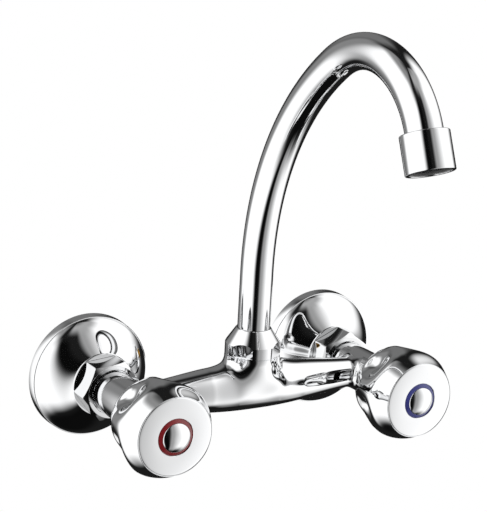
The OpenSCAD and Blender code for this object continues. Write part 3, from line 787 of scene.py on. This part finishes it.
@dataclass
class MixerCasting:
    """The chromed casting: two barrels, the arms between them and the spout's turret."""

    arm_mid_r: float = 13.2
    arm_end_r: float = 8.2
    arm_len: float = 71.0
    arm_rise: float = 0.7
    blend_rise: float = 5.4
    blend_stretch: float = 2.0
    blend_r: float = 30.0
    foot_fade: float = 3.0
    ease_span: float = 28.0
    ease_low: float = -7.0
    ease_high: float = 15.5
    ease_rounds: int = 60
    arm_stop: float = 66.0
    fillet: float = 3.6
    skin_limit: float = 40.0
    spigot_start: float = 28.5
    spigot_r: float = 10.5
    seat: float = 46.0
    chamber_r: float = 10.1
    thread_r: float = 10.45
    thread_length: float = 14.0
    bevel: float = 1.2
    overrun: float = 4.0
    ring_points: int = 144
    groove_r: float = 9.6
    groove_start: float = 29.45
    groove_end: float = 31.05
    neck_foot: float = 5.0
    well_floor: float = -6.2
    well_r: float = 9.4
    well_step: float = 6.7
    well_mouth_r: float = 10.36
    passage_r: float = 5.2
    passage_end: float = 68.0

    def arm_radius(self, x: float) -> float:
        """Radius of the arms at a distance from the middle."""
        share = min(abs(x) / self.arm_len, 1.0)
        swell = 0.5 + 0.5 * math.cos(math.pi * share ** 1.25)
        return self.arm_end_r + (self.arm_mid_r - self.arm_end_r) * swell

    def turret_radius(self, z: float) -> float:
        """Radius of the turret at a height above the arms' axis."""
        top = LAYOUT.turret_top - 0.8 - self.arm_rise
        share = min(max(z / top, 0.0), 1.0)
        swell = 0.5 - 0.5 * math.cos(math.pi * share)
        return self.arm_mid_r + (LAYOUT.turret_r - self.arm_mid_r) * swell

    def depth(self, x: float, y: float, z: float) -> float:
        """How far a point lies outside the blended arms and turret; below zero is inside.

        Args:
            x: Distance from the spout's axis along the arms.
            y: Distance from the spout's axis across the arms.
            z: Height above the arms' axis.

        Returns:
            The distance, near enough for a search.
        """
        off_arm = math.hypot(y, z)
        off_turret = math.hypot(x, y)
        arm = max(off_arm - self.arm_radius(x), abs(x) - self.arm_stop)
        barrel = math.hypot(LAYOUT.half_span - abs(x), z + self.arm_rise) - LAYOUT.barrel_r
        arm = blended(arm, barrel, self.fillet)
        lid = LAYOUT.turret_top + self.overrun - self.arm_rise
        aside = (off_turret - self.turret_radius(z)) / self.blend_stretch
        turret = max(-blended(-aside, z, self.foot_fade), z - lid)
        alike = y * y / max(off_arm * off_turret, 1e-6)
        sweep = 4 * self.blend_r * (math.sqrt(2 / (1 + alike)) - 1)
        reach = max(min(sweep, self.blend_rise), 1e-3)
        return blended(turret, arm, reach)

    def skin_radius(self, x: float, angle: float) -> float:
        """Distance from the arms' axis to the blended skin, in one direction.

        Args:
            x: Distance from the spout's axis along the arms.
            angle: Direction round the arms' axis.

        Returns:
            The radius there.
        """
        low, high = 0.0, self.skin_limit
        if abs(x) > self.arm_stop - self.arm_end_r:
            high = self.arm_radius(x) + self.fillet + 0.3
        for _ in range(26):
            middle = (low + high) / 2
            if self.depth(x, middle * math.cos(angle), middle * math.sin(angle)) < 0:
                low = middle
            else:
                high = middle
        return low

    def stations(self) -> List[float]:
        """Places of the rings along the arms, close together beside the turret."""
        half = [0.0]
        while half[-1] < self.arm_len:
            x = half[-1]
            near = min(abs(x - LAYOUT.turret_r), max(self.arm_stop - 6 - x, 0))
            half.append(x + min(0.15 + 0.12 * near, 1.2))
        scale = self.arm_len / half[-1]
        half = [x * scale for x in half]
        return [-x for x in half[:0:-1]] + half

    def arms_and_turret(self) -> Shape:
        """Rings along the arms, drawn out to the blended skin and cut level under the collar."""
        shape, stations = Shape(), self.stations()
        start = loop = shape.loop(1.0, self.ring_points)
        shape.moved(Matrix.Translation((stations[0], 0, 0)) @ Matrix.Rotation(math.pi / 2, 4, "Y"))
        for before, after in zip(stations, stations[1:]):
            loop = shape.drawn(loop, Vector((after - before, 0, 0)))
        bmesh.ops.holes_fill(shape.bm, edges=start + loop, sides=0)

        def out_to_skin(co: Vector) -> Vector:
            """Place on the skin of a ring's vertex."""
            angle = math.atan2(co.z, co.y)
            radius = self.skin_radius(co.x, angle)
            return Vector((co.x, radius * math.cos(angle), radius * math.sin(angle)))

        shape.bent(out_to_skin)
        flank = [v for v in shape.bm.verts
                 if abs(v.co.x) < self.ease_span and self.ease_low < v.co.z < self.ease_high]
        for _ in range(self.ease_rounds):
            bmesh.ops.smooth_vert(shape.bm, verts=flank, factor=0.5, use_axis_x=True,
                                  use_axis_y=True, use_axis_z=True)
        bmesh.ops.translate(shape.bm, vec=(0, 0, self.arm_rise), verts=shape.bm.verts)
        geom = shape.bm.verts[:] + shape.bm.edges[:] + shape.bm.faces[:]
        cut = bmesh.ops.bisect_plane(shape.bm, geom=geom, dist=1e-5,
                                     plane_co=(0, 0, LAYOUT.turret_top), plane_no=(0, 0, 1),
                                     clear_outer=True)
        rim = [g for g in cut["geom_cut"] if isinstance(g, bmesh.types.BMEdge)]
        bmesh.ops.holes_fill(shape.bm, edges=rim, sides=0)
        bmesh.ops.recalc_face_normals(shape.bm, faces=shape.bm.faces)
        return shape.moved(LAYOUT.on_spout_axis())

    def barrel(self, side: Side) -> Shape:
        """Outside of a valve barrel with its spigot."""
        r, start, end = LAYOUT.barrel_r, LAYOUT.barrel_start, LAYOUT.barrel_end
        outline = [
            (0, self.spigot_start), (self.spigot_r, self.spigot_start, 0.3),
            (self.spigot_r, start), (r - self.bevel, start, 0.3), (r, start + self.bevel, 0.4),
            (r, end, 0.5), (0, end),
        ]
        return Shape.lathed(outline, 160).moved(LAYOUT.on_inlet(side))

    def valve_bore(self, side: Side) -> Shape:
        """Bore of a barrel: waterway, valve chamber and the thread's bore."""
        end = LAYOUT.barrel_end
        thread_at = end - self.thread_length
        outline = [
            (0, self.spigot_start - 1), (LAYOUT.way_r, self.spigot_start - 1),
            (LAYOUT.way_r, self.seat), (self.chamber_r, self.seat), (self.chamber_r, thread_at),
            (self.thread_r, thread_at), (self.thread_r, end + 1), (0, end + 1),
        ]
        return Shape.lathed(outline, 96).moved(LAYOUT.on_inlet(side))

    def ring_groove(self, side: Side) -> Shape:
        """Groove in the spigot for the ring that the nut pulls on."""
        inner, outer = self.groove_r, LAYOUT.barrel_r
        outline = [(inner, self.groove_start), (outer, self.groove_start),
                   (outer, self.groove_end), (inner, self.groove_end)]
        return Shape.lathed(outline, 96).moved(LAYOUT.on_inlet(side))

    def build(self) -> None:
        """Joins the casting's forms, bores them and hands the casting over."""
        top, past, reach = LAYOUT.neck_top, 40.0, self.passage_end
        neck = Shape.lathed([(0, self.neck_foot), (LAYOUT.neck_r, self.neck_foot),
                             (LAYOUT.neck_r, top, 0.3), (0, top)], 96)
        well = Shape.lathed([
            (0, self.well_floor), (self.well_r, self.well_floor), (self.well_r, self.well_step),
            (self.well_mouth_r, self.well_step), (self.well_mouth_r, past), (0, past)], 96)
        passage = Shape.lathed([(0, -reach), (self.passage_r, -reach), (self.passage_r, reach),
                                (0, reach)], 62).moved(Matrix.Rotation(math.pi / 2, 4, "Y"))
        steps = [(Join.WELD, neck.moved(LAYOUT.on_spout_axis()))]
        steps += [(Join.WELD, self.barrel(side)) for side in Side]
        steps += [(Join.CUT, self.valve_bore(side)) for side in Side]
        steps += [(Join.CUT, self.ring_groove(side)) for side in Side]
        steps.append((Join.CUT, well.moved(LAYOUT.on_spout_axis() @ OFF_GRID)))
        steps.append((Join.CUT, passage.moved(LAYOUT.on_spout_axis())))
        casting = combined("mixer_casting", self.arms_and_turret(), steps)
        hand_over(casting, CHROME, Body.MIXER, "body")


# Valves


@dataclass
class ValveHeadwork:
    """The brass bush, seals and fixed disc that stay in one barrel."""

    side: Side

    def build(self, nodes: Nodes) -> None:
        """Dresses the valve's fixed nodes."""
        dress(nodes, {"headwork": BRASS, "headwork_seal": RUBBER, "seat_seal": RUBBER,
                      "fixed_disc": CERAMIC}, self.side)


# Handles


@dataclass
class Handle:
    """One round handle with its coloured ring, button, screw and spindle."""

    side: Side
    finish: Finish
    length: float = 34.0
    rear: float = 74.5
    lobes: int = 5
    lobe_turn: float = 25.0
    face_r: float = 20.7
    steps: int = 240
    skin_steps: int = 44
    ring_r: float = 9.8
    button_r: float = 7.7
    ring_sunk: float = 1.2
    face_crown: float = 0.45
    crown_steps: int = 10
    dome_steps: int = 24
    ring_sink: float = 0.45
    ring_peak: float = 0.75
    button_top: float = 3.2
    dome_power: float = 2.3
    sleeve_depth: float = 6.0
    sleeve_r: float = 9.2
    cap_bore_r: float = 6.05
    recess_r: float = 9.25
    recess_floor: float = 25.0
    screw_hole_r: float = 2.2
    web_back: float = 22.0
    splined_r: float = 3.9
    splined_start: float = 14.8
    hub_r: float = 7.3
    hub_start: float = 10.8
    hollow_r: float = 14.0
    hollow_bevel: float = 0.6
    rear_lip: Tuple[Pair, ...] = ((18.9, 0.0), (19.5, 0.1), (19.95, 0.4))
    face_edge: Tuple[Pair, ...] = ((-0.02, 0.6), (0.1, 0.32), (0.28, 0.14), (0.55, 0.05))
    mean_knots: Tuple[Pair, ...] = (
        (0.0, 20.7), (0.333, 25.2), (0.667, 22.0), (0.90, 21.0), (1.0, 20.1))
    lobe_knots: Tuple[Pair, ...] = (
        (0.0, 0.0), (0.333, 0.27), (0.667, 3.08), (0.86, 1.5), (0.93, 0.25), (1.0, 0.1))

    @property
    def body(self) -> Body:
        """The body that the handle's pieces ride on."""
        return Body.LEFT_HANDLE if self.side is Side.LEFT else Body.RIGHT_HANDLE

    @property
    def place(self) -> Matrix:
        """Placement of the handle's pieces, with +Z towards the user."""
        return LAYOUT.on_inlet(self.side) @ Matrix.Translation((0, 0, self.rear))

    def skin(self) -> List[Vector]:
        """Mean outline of the knob's outside, from the rear edge to the face."""
        heights = (i / self.skin_steps for i in range(self.skin_steps + 1))
        return outline_of((eased(self.mean_knots, 1 - t), self.length * t) for t in heights)

    def knob(self) -> bpy.types.Object:
        """Knob with five smooth finger hollows, its rear recess, hub and front seat."""
        length, rim_at = self.length, self.length - self.face_crown
        face = [(self.face_r - inward, rim_at - down) for inward, down in self.face_edge]
        for i in range(self.crown_steps + 1):
            share = 1 - i / self.crown_steps
            r = self.ring_r + 0.25 + (self.face_r - self.ring_r - 1.1) * share
            face.append((r, length - self.face_crown * share * share))
        seat_r, seat_at = self.ring_r + LAYOUT.fit, length - self.ring_sunk
        face += [(seat_r, length - 0.2), (seat_r, seat_at)]
        inside = [
            (self.recess_r, seat_at), (self.recess_r, self.recess_floor),
            (self.screw_hole_r, self.recess_floor), (self.screw_hole_r, self.web_back),
            (self.splined_r, self.web_back), (self.splined_r, self.splined_start),
            (self.hub_r, self.splined_start), (self.hub_r, self.hub_start),
            (self.hollow_r, self.hub_start), (self.hollow_r, self.hollow_bevel),
            (self.hollow_r + self.hollow_bevel, 0),
        ]
        outline = outline_of(self.rear_lip) + self.skin()[1:-1] + outline_of(face + inside)

        def with_lobes(co: Vector) -> Vector:
            """Draws the outside in and out round the knob."""
            radius = math.hypot(co.x, co.y)
            if radius < self.hollow_r + 1 or co.z > rim_at - self.face_edge[0][1] - 0.01:
                return co
            angle = math.degrees(math.atan2(co.y, co.x))
            depth = eased(self.lobe_knots, 1 - co.z / length)
            wave = math.cos(math.radians(self.lobes * (angle - self.lobe_turn)))
            scale = (radius + depth * wave) / radius
            return Vector((co.x * scale, co.y * scale, co.z))

        shape = Shape.turned(outline, self.steps).bent(with_lobes)
        return shape.moved(self.place).as_object(self.side.named("knob_casting"))

    def ring(self) -> bpy.types.Object:
        """Coloured ring with its softened edges and its sleeve."""
        low, sleeve_end = self.length - self.ring_sunk, self.length - self.sleeve_depth
        outline = [
            (self.button_r, self.length + self.ring_peak, 0.12),
            (self.ring_r, self.length - self.ring_sink, 0.15), (self.ring_r, low),
            (self.sleeve_r, low), (self.sleeve_r, sleeve_end), (self.button_r, sleeve_end),
        ]
        return Shape.lathed(outline, 160).moved(self.place).as_object(
            self.side.named("ring_trim"))

    def button(self) -> bpy.types.Object:
        """Domed cap in the ring, with the sleeve that snaps into the knob."""
        low, top = self.length - self.ring_sunk, self.length + self.button_top
        wall_r, sleeve_end = self.button_r - LAYOUT.fit, self.length - self.sleeve_depth
        shoulder = self.length + self.ring_peak + 0.15
        outline = [(0, low), (self.cap_bore_r, low), (self.cap_bore_r, sleeve_end),
                   (wall_r, sleeve_end), (wall_r, shoulder - 0.1)]
        for i in range(self.dome_steps + 1):
            share = (1 - i / self.dome_steps) * 0.99
            outline.append((wall_r * share, top - (top - shoulder) * share ** self.dome_power))
        return Shape.turned(outline_of(outline), 160).moved(self.place).as_object(
            self.side.named("button_cap"))

    def build(self, nodes: Nodes) -> None:
        """Builds the knob, ring and cap and dresses the rest."""
        for piece, finish, node in ((self.knob(), CHROME, "knob"),
                                    (self.ring(), self.finish, "index_ring"),
                                    (self.button(), CHROME, "index_button")):
            hand_over(piece, finish, self.body, self.side.named(node))
        dress(nodes, {"handle_screw": STEEL, "spindle": BRASS, "moving_disc": CERAMIC,
                      "spindle_o_rings": RUBBER, "spindle_clip": STEEL}, self.side)


# Spout


@dataclass
class Spout:
    """The swivelling pipe with its collar, ferrules, seals and aerator."""

    bottom: float = 13.8
    rise_end: float = 65.4
    bend1_r: float = 147.7
    bend1_angle: float = 56.1
    bend2_r: float = 50.3
    bend2_angle: float = 101.0
    outlet_lap: float = 4.0
    nozzle_r: float = 11.8
    nozzle_length: float = 18.6
    nozzle_wall: float = 0.95
    lip_r: float = 9.9
    lip_at: float = 17.0
    points: int = 96

    def bend_centres(self) -> Tuple[Vector, Vector, Vector]:
        """Centres of the two bends and the pipe's end, in the spout's plane."""
        start = Vector((0, -LAYOUT.spout_out, self.rise_end))
        first = start + Vector((0, -self.bend1_r, 0))
        a = math.radians(self.bend1_angle)
        across = Vector((0, -math.cos(a), -math.sin(a)))
        second = first - across * self.bend1_r + across * self.bend2_r
        b = math.radians(self.bend1_angle + self.bend2_angle)
        end = second - Vector((0, -math.cos(b), -math.sin(b))) * self.bend2_r
        return first, second, end

    def on_outlet(self) -> Matrix:
        """Placement of something built along +Z on the outlet, with +Z down the stream."""
        turn = math.radians(self.bend1_angle + self.bend2_angle)
        return Matrix.Translation(self.bend_centres()[2]) @ Matrix.Rotation(turn, 4, "X")

    def pipe(self) -> bpy.types.Object:
        """Bent pipe: its two walls follow the path and are joined at both ends."""
        shape = Shape()
        first, second, _ = self.bend_centres()
        radii = (LAYOUT.tube_r, LAYOUT.tube_r - LAYOUT.tube_wall)
        loops = []
        for radius in radii:
            start = shape.loop(radius, self.points)
            verts = list({vert for edge in start for vert in edge.verts})
            bmesh.ops.translate(shape.bm, vec=(0, -LAYOUT.spout_out, self.bottom), verts=verts)
            loop = shape.drawn(start, Vector((0, 0, self.rise_end - self.bottom)))
            loop = shape.swept(loop, first, self.bend1_angle, 90)
            loop = shape.swept(loop, second, self.bend2_angle, 80)
            stream = self.on_outlet().to_3x3() @ Vector((0, 0, self.outlet_lap))
            loop = shape.drawn(loop, stream)
            loops.append((start, loop))
        (outer_start, outer_end), (inner_start, inner_end) = loops
        bmesh.ops.bridge_loops(shape.bm, edges=outer_start + inner_start)
        bmesh.ops.bridge_loops(shape.bm, edges=outer_end + inner_end)
        return shape.mended().as_object("spout_pipe")

    def nozzle(self) -> bpy.types.Object:
        """Aerator housing with softened edges."""
        bore_r, end = self.nozzle_r - self.nozzle_wall, self.nozzle_length
        outline = [(bore_r, 0), (self.nozzle_r, 0, 0.6), (self.nozzle_r, end, 0.5),
                   (self.lip_r, end, 0.3), (self.lip_r, self.lip_at), (bore_r, self.lip_at)]
        return Shape.lathed(outline, 160).moved(self.on_outlet()).as_object("outlet_sleeve")

    def build(self, nodes: Nodes) -> None:
        """Builds the pipe and the nozzle and dresses the rest."""
        hand_over(self.pipe(), CHROME, Body.SPOUT, "spout_tube")
        hand_over(self.nozzle(), CHROME, Body.SPOUT, "aerator_housing")
        # The aerator screen gets the steel with painted shade of the outlet mouth.
        dress(nodes, {
            "spout_collar": CHROME, "spout_slip_ring": PLASTIC, "spout_ferrule": BRASS,
            "spout_o_rings": RUBBER, "outlet_ferrule": CHROME, "aerator_washer": RUBBER,
            "aerator_cage": GREY_PLASTIC, "aerator_screen": SHADED_MESH_STEEL})


# Studio


@dataclass(frozen=True)
class Panel:
    """A soft-edged pale or dark panel of the studio, as the chrome mirrors it.

    Angles are in degrees: azimuth 0 is straight out of the wall and 90 is towards +X.
    """

    name: str
    azimuth: float
    elevation: float
    width: float
    height: float
    edge: float
    level: float
    lean: float = 0.0


PANELS = (
    Panel("front_wall", 15, 0, 46, 152, 8, 0.36),
    Panel("front_window", 36, 2, 40, 116, 14, 0.8),
    Panel("left_softbox", -112, 3, 78, 118, 14, 1.2),
    Panel("left_front_fill", -71, -4, 44, 100, 12, 1.2, -0.2),
    Panel("right_softbox", 64, 8, 62, 120, 12, 1.2),
    Panel("right_softbox_high", 85, 36, 60, 56, 12, 1.2),
    Panel("behind_left", -162, 14, 30, 70, 12, 0.25),
    Panel("behind_high", 163, 34, 40, 50, 10, 0.18),
    Panel("ceiling_front", 20, 76, 120, 20, 10, 0.42),
    Panel("ceiling_left", -115, 68, 90, 20, 10, 0.28),
    Panel("table_under", 0, -90, 400, 44, 8, 0.004),
    Panel("camera_stand", -30, -12, 22, 126, 7, 0.003, -0.24),
)


@dataclass
class Studio:
    """White room with soft lamps, panels that the chrome mirrors, and a pale floor below."""

    floor_z: float = -0.9
    floor_size: float = 3.0
    floor_colour: Colour = (0.85, 0.85, 0.85)
    room_level: float = 0.012
    lamp_level: float = 0.55
    lamps_aim: Tuple[float, float, float] = (0.0, -0.06, 0.06)

    def panel_group(self) -> bpy.types.NodeTree:
        """Group that lays one panel over the light that comes from a direction."""
        tree = bpy.data.node_groups.new("studio_panel", "ShaderNodeTree")
        for name in ("Azimuth", "Elevation", "Under", "Panel Azimuth", "Panel Elevation",
                     "Half Width", "Half Height", "Edge", "Panel Level", "Lean"):
            tree.interface.new_socket(name, in_out="INPUT", socket_type="NodeSocketFloat")
        tree.interface.new_socket("Level", in_out="OUTPUT", socket_type="NodeSocketFloat")
        net = Wiring(tree)
        source = net.node("NodeGroupInput").outputs

        def within(off: bpy.types.NodeSocket, half: bpy.types.NodeSocket) -> bpy.types.NodeSocket:
            """1 inside a half size and 0 past its soft edge."""
            return net.node("ShaderNodeMapRange", {
                "Value": off, "From Min": net.maths("SUBTRACT", half, source["Edge"]),
                "From Max": net.maths("ADD", half, source["Edge"]), "To Min": 1, "To Max": 0,
            }, interpolation_type="SMOOTHSTEP").outputs["Result"]

        rise = net.maths("SUBTRACT", source["Elevation"], source["Panel Elevation"])
        leaning = net.maths("MULTIPLY_ADD", rise, source["Lean"], source["Panel Azimuth"])
        off = net.maths("SUBTRACT", source["Azimuth"], leaning)
        aside = net.maths("ABSOLUTE", net.maths("WRAP", off, 180.0, -180.0))
        mask = net.maths("MULTIPLY", within(aside, source["Half Width"]),
                         within(net.maths("ABSOLUTE", rise), source["Half Height"]))
        change = net.maths("SUBTRACT", source["Panel Level"], source["Under"])
        net.node("NodeGroupOutput", {0: net.maths("MULTIPLY_ADD", change, mask, source["Under"])})
        return tree

    def world(self) -> None:
        """White room for the camera, and the room with its panels for the chrome."""
        world = bpy.data.worlds.new("studio")
        bpy.context.scene.world = world
        world.use_nodes = True
        net = Wiring(world.node_tree)
        place = net.node("ShaderNodeTexCoord").outputs["Generated"]
        x, y, z = net.node("ShaderNodeSeparateXYZ", {0: place}).outputs
        azimuth = net.maths("DEGREES", net.maths("ARCTAN2", x, net.maths("MULTIPLY", y, -1.0)))
        elevation = net.maths("DEGREES", net.maths("ARCSINE", z))
        level: Value = self.room_level
        group = self.panel_group()
        for panel in PANELS:
            level = net.node("ShaderNodeGroup", {
                "Azimuth": azimuth, "Elevation": elevation, "Under": level,
                "Panel Azimuth": panel.azimuth, "Panel Elevation": panel.elevation,
                "Half Width": panel.width / 2, "Half Height": panel.height / 2,
                "Edge": panel.edge, "Panel Level": panel.level, "Lean": panel.lean,
            }, node_tree=group, label=panel.name).outputs[0]
        path = net.node("ShaderNodeLightPath").outputs
        direct = net.maths("MAXIMUM", path["Is Camera Ray"], path["Is Transmission Ray"])
        lit = net.node("ShaderNodeMix", {0: path["Is Glossy Ray"], 2: self.lamp_level, 3: level})
        strength = net.node("ShaderNodeMix", {0: direct, 2: lit.outputs[0], 3: 1.0})
        background = net.node("ShaderNodeBackground",
                              {"Color": (1, 1, 1, 1), "Strength": strength.outputs[0]})
        net.node("ShaderNodeOutputWorld", {0: background.outputs[0]})

    def floor(self) -> None:
        """Plain pale floor far below the tap."""
        mesh = bpy.data.meshes.new("studio_floor")
        bm = bmesh.new()
        bmesh.ops.create_grid(bm, x_segments=8, y_segments=8, size=self.floor_size)
        bmesh.ops.translate(bm, vec=(0, 0, self.floor_z), verts=bm.verts)
        bm.to_mesh(mesh)
        bm.free()
        obj = placed("studio_floor", mesh)
        material = bpy.data.materials.new("pale_floor")
        material.use_nodes = True
        net = Wiring(material.node_tree)
        paint = net.node("ShaderNodeBsdfDiffuse", {"Color": (*self.floor_colour, 1)})
        mix = net.node("ShaderNodeMixShader", {
            0: net.node("ShaderNodeLightPath").outputs["Is Camera Ray"], 1: paint.outputs[0],
            2: net.node("ShaderNodeEmission").outputs[0]})
        net.node("ShaderNodeOutputMaterial", {"Surface": mix.outputs[0]})
        mesh.materials.append(material)
        obj.visible_glossy = False
        obj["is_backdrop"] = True

    def lamp(self, name: str, place: Vector, size: float, power: float) -> None:
        """Soft square lamp that faces the tap and isn't mirrored in it.

        Args:
            name: Name of the lamp.
            place: Where it hangs, in metres.
            size: Its width and height in metres.
            power: Its power in watts.
        """
        data = bpy.data.lights.new(name, "AREA")
        data.shape = "SQUARE"
        data.size = size
        data.energy = power
        obj = placed(name, data)
        obj.location = place
        obj.rotation_euler = (Vector(self.lamps_aim) - place).to_track_quat("-Z", "Y").to_euler()
        obj.visible_glossy = False
        obj.visible_camera = False

    def build(self) -> None:
        """Sets up the room, the lamps and the floor."""
        self.world()
        self.floor()
        self.lamp("left_lamp", Vector((-1.3, -0.9, 0.7)), 0.9, 9.0)
        self.lamp("right_lamp", Vector((1.2, -1.0, 0.5)), 0.9, 6.0)
        self.lamp("top_lamp", Vector((0.1, -0.4, 1.5)), 1.0, 6.0)
        LOG.info("studio: %d panels", len(PANELS))


@dataclass(frozen=True)
class PhotoCamera:
    """Camera at the photograph's angle and distance."""

    azimuth: float = -30.51
    elevation: float = 14.14
    roll: float = 3.15
    aside: float = -22.39
    above: float = -59.09
    distance: float = 915.46
    focal: float = 1578.45
    picture: float = 512.0
    sensor: float = 36.0

    def build(self) -> None:
        """Creates the camera and makes it the scene's."""
        a, e, r = (math.radians(v) for v in (self.azimuth, self.elevation, self.roll))
        back = Vector((math.sin(a) * math.cos(e), -math.cos(a) * math.cos(e), math.sin(e)))
        level = Vector((0, 0, 1)).cross(back).normalized()
        upright = back.cross(level)
        right = level * math.cos(r) + upright * math.sin(r)
        up = upright * math.cos(r) - level * math.sin(r)
        place = (back * self.distance - right * self.aside - up * self.above) * MM
        data = bpy.data.cameras.new("photo_camera")
        data.sensor_width = self.sensor
        data.lens = self.focal * self.sensor / self.picture
        data.clip_start = 0.01
        obj = placed("photo_camera", data)
        turn = Matrix((right, up, back)).transposed().to_4x4()
        obj.matrix_world = Matrix.Translation(place) @ turn
        bpy.context.scene.camera = obj
        LOG.info("camera: %.1f mm lens", data.lens)


def corners(box: Sequence[Sequence[float]]) -> List[List[float]]:
    """A box's two corners as plain lists."""
    return [[float(value) for value in corner] for corner in box]


def main(nodes: Nodes) -> None:
    """Builds the tap's sub-assemblies in order, then the studio and the camera.

    Args:
        nodes: The frame's nodes by name.
    """
    solids = corners(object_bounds())
    for side in Side:
        WallConnection(side).build(nodes)
    MixerCasting().build()
    for side in Side:
        ValveHeadwork(side).build(nodes)
    Handle(Side.LEFT, HOT_RING).build(nodes)
    Handle(Side.RIGHT, COLD_RING).build(nodes)
    Spout().build(nodes)
    Studio().build()
    PhotoCamera().build()
    bpy.context.scene.view_settings.view_transform = "Standard"
    {"cad": solids, "visual": corners(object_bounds())}


if __name__ == "__main__":
    logging.basicConfig(level=logging.INFO, format="%(message)s")
    main(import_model()["nodes"])
